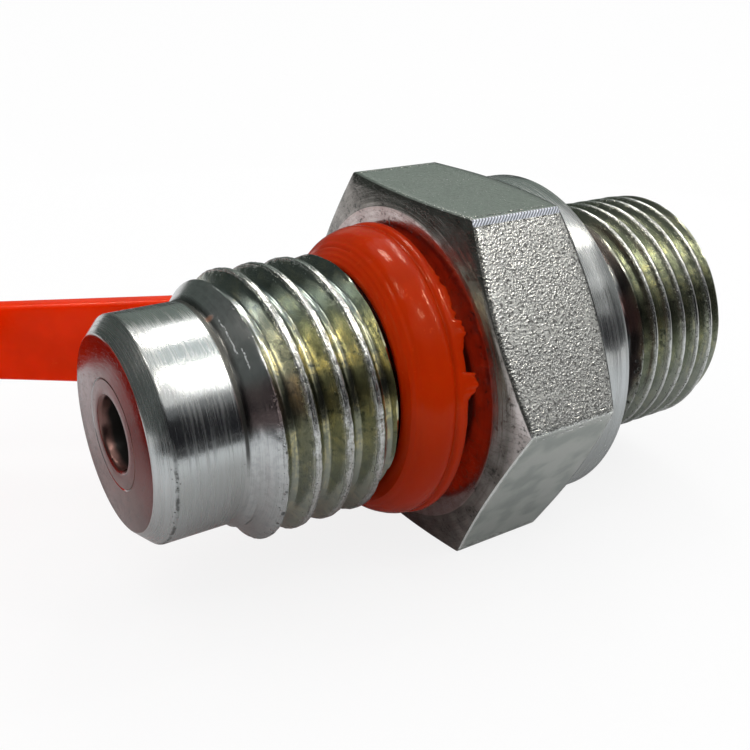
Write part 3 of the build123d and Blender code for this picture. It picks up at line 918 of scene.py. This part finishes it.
ring = {
    "middle": (15.95, 0.0, 0.0),
    "tilt": 3.2,
    "tiltTurn": 54.7,
    # torn tabs on the rim: first and last angle, how far out, how far up
    "tabs": ((160.5, 170.5, 0.42, 0.34), (141.5, 153.0, 0.24, 0.10)),
    "jags": (119.0, 150.0),      # ragged stretch of the rim
    "lip": -1.5,                 # the left lip starts here
    # where the torn edge begins and over how much: along the axis, and in radius
    "edge": ((1.1, 0.4), (8.6, 0.5)),
}
ringColumns = columnsAround([(0, np.arange(110.0, 182.0, 0.4))], 1.5)
ringProfile = [
    (1.55, 7.0), (0.4, 7.0), (-1.15, 7.0), (-1.5, 6.95), (-1.95, 6.9), (-2.07, 6.95),
    (-2.1, 7.05), (-2.1, 7.2), (-2.03, 7.33), (-1.94, 7.38), (-1.88, 7.5), (-1.79, 7.62),
    (-1.70, 7.66), (-1.64, 7.78), (-1.55, 7.91), (-1.46, 7.95), (-1.40, 8.08), (-1.30, 8.24),
    (-1.21, 8.28), (-1.15, 8.38), (-1.0, 8.54), (-0.8, 8.70), (-0.6, 8.82),
    (-0.35, 8.93), (-0.1, 9.03), (0.15, 9.10), (0.4, 9.13), (0.58, 9.12), (0.68, 9.08),
    (0.74, 9.03), (0.79, 9.01), (0.84, 9.03), (0.90, 9.12), (0.97, 9.20), (1.06, 9.24),
    (1.18, 9.25), (1.30, 9.25), (1.40, 9.23), (1.48, 9.18), (1.53, 9.10), (1.55, 9.02),
    (1.55, 8.0), (1.55, 7.0)]


def ringFrame(plan):
    lean = math.tan(math.radians(plan["tilt"]))
    turn = math.radians(plan["tiltTurn"])
    axis = Vector((1, -lean * math.cos(turn), -lean * math.sin(turn))).normalized()
    across = Vector((0, 1, 0))
    across = (across - axis * across.dot(axis)).normalized()
    upward = axis.cross(across)
    place = Matrix((across, upward, axis)).transposed().to_4x4()
    return Matrix.Translation(Vector(plan["middle"]) * mm) @ place


def ringShape(along, radius, angle):
    # the left lip stays square to the neck, and torn flash hangs on the rim's right edge
    degrees = np.degrees(angle)
    lip = 0.5 + 0.5 * np.cos(np.radians(degrees - ring["tiltTurn"]))
    moved = np.where(along < ring["lip"], ring["lip"] + (along - ring["lip"]) * lip, along)
    changed = radius.copy()
    (side, sideFade), (top, topFade) = ring["edge"]
    edge = np.clip((along - side) / sideFade, 0, 1) * np.clip((radius - top) / topFade, 0, 1)
    for j, i in np.argwhere(edge > 0):
        turn = degrees[j, i]
        rough = noise.noise(Vector((turn * 0.22, 3.1, 0)))
        fine = noise.noise(Vector((turn * 0.6, 8.3, 0)))
        out, up = 0.0, 0.0
        for first, last, sideways, upward in ring["tabs"]:
            share = (turn - first) / (last - first)
            tab = np.clip(share / 0.08, 0, 1) * np.clip((1 - share) / 0.45, 0, 1) ** 0.7
            out += tab * sideways * (1 + 0.3 * fine)
            up += tab * upward * (1 + 0.6 * fine)
        jags = np.clip((turn - ring["jags"][0]) / 3, 0, 1) * np.clip(
            (ring["jags"][1] - turn) / 2, 0, 1)
        out += jags * max(0.0, 0.10 + 0.40 * rough + 0.14 * fine)
        moved[j, i] += edge[j, i] * (out + 0.03 * rough)
        changed[j, i] += edge[j, i] * (up + jags * 0.25 * abs(rough))
    return moved, changed


# the ring has a painted shade below and a painted glow on its side toward the hexagon
tetherRing = turnedPiece("tetherRing", [(s, r, 0) for s, r in ringProfile], ringColumns, [
    orangePlastic("ringPlastic", plastic["ringShadedColour"], lines=0.6, under=0.66, paintedGlowFrom=1.53)],
    plastic["sharpAngle"], ringShape)
tetherRing.matrix_world = ringFrame(ring)
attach(tetherRing, "tether")
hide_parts("tether_cap")
print("tether ring:", len(tetherRing.data.polygons), "faces")

strap = {
    "thickness": 1.4,
    "width": 5.4,
    "rootWidth": 6.8,
    "taper": (14.0, -0.5),
    "level": -1.792,
    "root": (16.5, 7.6),
    "bendY": 9.1,
    "bendRadius": 3.0,
    "heading": 149.3,
    "run": 17.698,
    "curveRadius": 16.0,
    "tail": 3.6,
    "stations": (3, 16, 30, 16, 5),   # root, bend, run, curve, tail
    "edgeRound": 0.3,
    "edgeSteps": 4,
}


def strapLine(plan):
    # stations along the strap, seen from above: point and heading
    spots, heading = [], 90.0
    here = Vector(plan["root"])

    def forward(length, turn, count):
        nonlocal here, heading
        for _ in range(count):
            heading += turn / count / 2
            here = here + Vector((math.cos(math.radians(heading)),
                                  math.sin(math.radians(heading)))) * (length / count)
            heading += turn / count / 2
            spots.append((here.copy(), heading))

    spots.append((here.copy(), heading))
    bend, curve = plan["heading"] - 90, 180 - plan["heading"]
    stretches = ((plan["bendY"] - plan["root"][1], 0),
                 (math.radians(bend) * plan["bendRadius"], bend), (plan["run"], 0),
                 (math.radians(curve) * plan["curveRadius"], curve), (plan["tail"], 0))
    for (length, turn), count in zip(stretches, plan["stations"]):
        forward(length, turn, count)
    return spots


def strapSection(width, thickness, bend, steps):
    corners = []
    for cx, cz, start in ((1, 1, 0), (-1, 1, 90), (-1, -1, 180), (1, -1, 270)):
        for k in range(steps + 1):
            a = math.radians(start + 90 * k / steps)
            corners.append((cx * (thickness / 2 - bend) + bend * math.cos(a),
                            cz * (width / 2 - bend) + bend * math.sin(a)))
    return corners


def makeStrap(plan):
    spots, vertices, faces = strapLine(plan), [], []
    for spot, heading in spots:
        share = np.clip((spot.x - plan["taper"][1]) / (plan["taper"][0] - plan["taper"][1]), 0, 1)
        width = plan["width"] + share * (plan["rootWidth"] - plan["width"])
        section = strapSection(width, plan["thickness"], plan["edgeRound"], plan["edgeSteps"])
        side = Vector((math.sin(math.radians(heading)), -math.cos(math.radians(heading))))
        for across, up in section:
            flat = spot + side * across
            vertices.append(Vector((flat.x, flat.y, plan["level"] + up)) * mm)
    count = len(section)
    for j in range(len(spots) - 1):
        for i in range(count):
            k = (i + 1) % count
            faces.append((j * count + i, j * count + k, (j + 1) * count + k, (j + 1) * count + i))
    faces.append(tuple(reversed(range(count))))
    faces.append(tuple(range((len(spots) - 1) * count, len(spots) * count)))
    finish = orangePlastic("strapPlastic", plastic["colour"])
    return pieceFrom("tetherStrap", vertices, faces, [finish], [0] * len(faces),
                     plastic["sharpAngle"])


tetherStrap = makeStrap(strap)
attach(tetherStrap, "tether")
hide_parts("tether_cap")
print("tether strap:", len(tetherStrap.data.polygons), "faces")

cap = {
    "middle": (-20.056, -1.792),     # x and z of its axis
    "back": 23.658,
    "outer": 9.0,
    "ribs": 18,
    "ribCentre": 8.85,
    "ribRadius": 0.499,
    "ribSpan": (-12.5, -1.0),
    "ribOffsets": (-3.1, -2.95, -2.6, -2.0, -1.2, -0.5, 0.5, 1.2, 2.0, 2.6, 2.95, 3.1),
}
ribStep = 360.0 / cap["ribs"]
capColumns = columnsAround([((k + 0.5) * ribStep, cap["ribOffsets"])
                            for k in range(cap["ribs"])], 5.0)
capProfile = [
    (0.0, 0.0), (0.0, 6.0), (0.0, 6.06), (-0.12, 6.2), (-0.12, 6.9), (0.0, 7.04), (0.0, 7.1),
    (0.0, 8.4), (-0.06, 8.68), (-0.2, 8.88), (-0.42, 8.98), (-0.6, 9.0), (-0.99, 9.0),
    (-1.04, 9.0), (-5.0, 9.0), (-9.0, 9.0), (-11.6, 9.0), (-12.1, 9.0), (-12.4, 9.0),
    (-12.5, 9.04), (-12.52, 9.14), (-12.6, 9.2), (-14.3, 9.2), (-14.44, 9.15), (-14.5, 9.02),
    (-14.5, 8.35), (-14.42, 8.22), (-14.2, 8.15), (-13.2, 8.15), (-13.0, 7.9), (-12.8, 7.78),
    (-12.6, 7.9), (-12.4, 8.15), (-11.2, 8.15), (-11.0, 7.9), (-10.8, 7.78), (-10.6, 7.9),
    (-10.4, 8.15), (-9.2, 8.15), (-9.0, 7.9), (-8.8, 7.78), (-8.6, 7.9), (-8.4, 8.15),
    (-3.0, 8.15), (-2.0, 8.13), (-1.7, 8.0), (-1.6, 7.8), (-1.6, 4.0), (-1.6, 0.0)]


def capRibs(along, radius, angle):
    off = np.radians((np.degrees(angle) % ribStep) - ribStep / 2)
    reach = cap["ribRadius"] ** 2 - (cap["ribCentre"] * np.sin(off)) ** 2
    ribbed = cap["ribCentre"] * np.cos(off) + np.sqrt(np.maximum(reach, 0.0))
    span = (along > cap["ribSpan"][0] - 0.01) & (along < cap["ribSpan"][1] - 0.01)
    here = span & (radius > cap["outer"] - 0.05) & (reach > 0)
    return along, np.where(here, np.maximum(radius, ribbed), radius)


dustCap = turnedPiece("dustCap", [(s, r, 0) for s, r in capProfile], capColumns,
                      [orangePlastic("capPlastic", plastic["colour"], lines=0.2)],
                      plastic["sharpAngle"], capRibs)
dustCap.matrix_world = Matrix((
    (0, 1, 0, cap["middle"][0] * mm), (0, 0, 1, cap["back"] * mm),
    (1, 0, 0, cap["middle"][1] * mm), (0, 0, 0, 1)))
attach(dustCap, "tether")
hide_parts("tether_cap")
print("dust cap:", len(dustCap.data.polygons), "faces")

# ---- inner nodes keep their solids

innerFinishes = {
    "valve_poppet": ((0.45, 0.45, 0.44, 1), 1.0, 0.25),
    "valve_spring": ((0.40, 0.40, 0.40, 1), 1.0, 0.25),
    "spring_seat": ((0.45, 0.44, 0.42, 1), 1.0, 0.32),
    "retaining_clip": ((0.25, 0.25, 0.26, 1), 1.0, 0.35),
    "backup_ring": ((0.78, 0.77, 0.73, 1), 0.0, 0.45),
    "probe_seal": ((0.018, 0.018, 0.018, 1), 0.0, 0.42),
    "poppet_seal": ((0.018, 0.018, 0.018, 1), 0.0, 0.42),
    "stud_seal": ((0.020, 0.020, 0.019, 1), 0.0, 0.48),
}


def innerFinish(name, colour, metallic, roughness):
    finish, wire = newFinish(name)
    spot = wire.add("TexCoord", out="Object")
    spot = spot.add("VectorMath", {"operation": "SCALE"}, {0: spot, "Scale": 1 / mm})
    cloud = grain(spot, 0.8, 3.0)
    lines = grain(spot.add("VectorMath", {"operation": "MULTIPLY"},
                           {0: spot, 1: (12.0, 1.2, 1.2)}), 1.0, 2.0)
    closeFinish(wire, {
        "Base Color": mixColour(step(cloud, 0.3, 0.7), colour, dimmed(colour, 0.7)),
        "Metallic": metallic,
        "Roughness": roughness + 0.15 * cloud,
    }, cloud + lines * 0.6, 0.004 * mm)
    return finish


for nodeName, look in innerFinishes.items():
    node = frame["nodes"][nodeName]
    node.data.materials.clear()
    node.data.materials.append(innerFinish(nodeName + "Finish", *look))
print("inner nodes finished:", len(innerFinishes))
